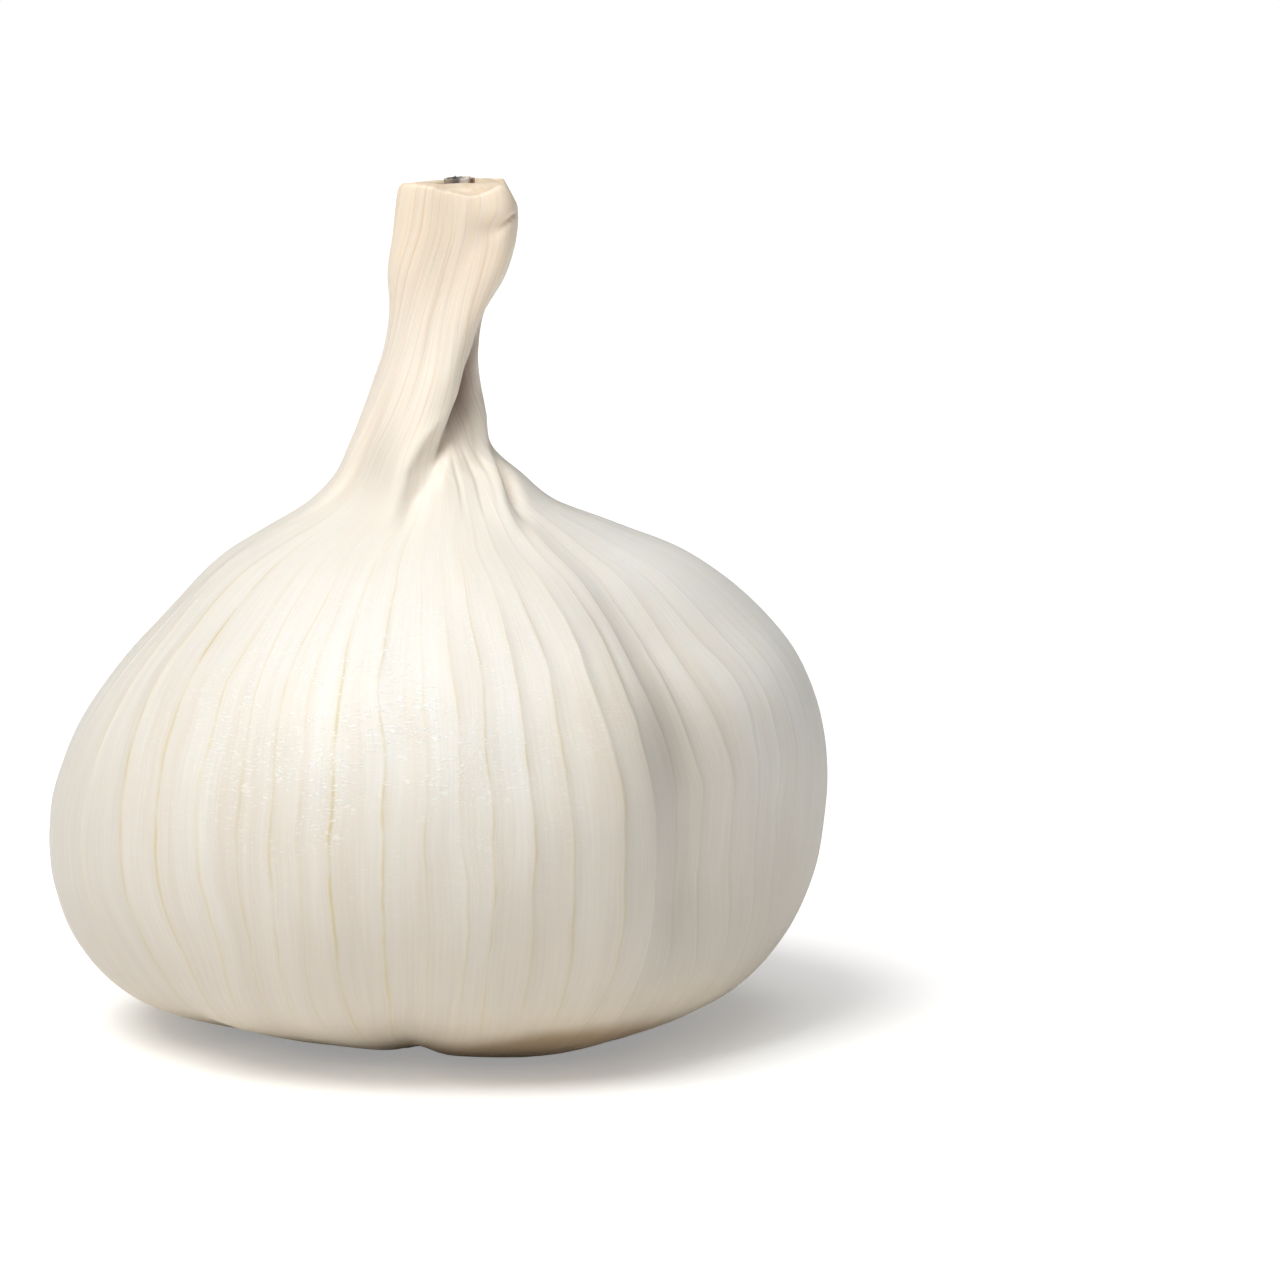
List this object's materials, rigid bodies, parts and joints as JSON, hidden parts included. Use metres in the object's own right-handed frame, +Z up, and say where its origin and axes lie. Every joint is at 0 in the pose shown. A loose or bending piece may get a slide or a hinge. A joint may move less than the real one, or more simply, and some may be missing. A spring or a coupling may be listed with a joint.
{
  "type": "garlic bulb",
  "caption": "Whole dried garlic bulb with papery ribbed skin, a twisted neck cut across at the top and a corky root plate underneath.",
  "frame": {"origin": "middle of the bounding box on the surface the bulb stands on", "axes": "+Z up along the neck, -Y the side with the open fold of the neck, +X the side that the neck leans to"},
  "size_m": [0.0598, 0.0577, 0.0652],
  "materials": {
    "papery_skin": "satin",
    "dry_stalk": "matte",
    "root_plate": "matte"
  },
  "bodies": {
    "root": {"bulb": "papery_skin", "stalk_stub": "dry_stalk", "root_plate": "root_plate"}
  },
  "joints": []
}
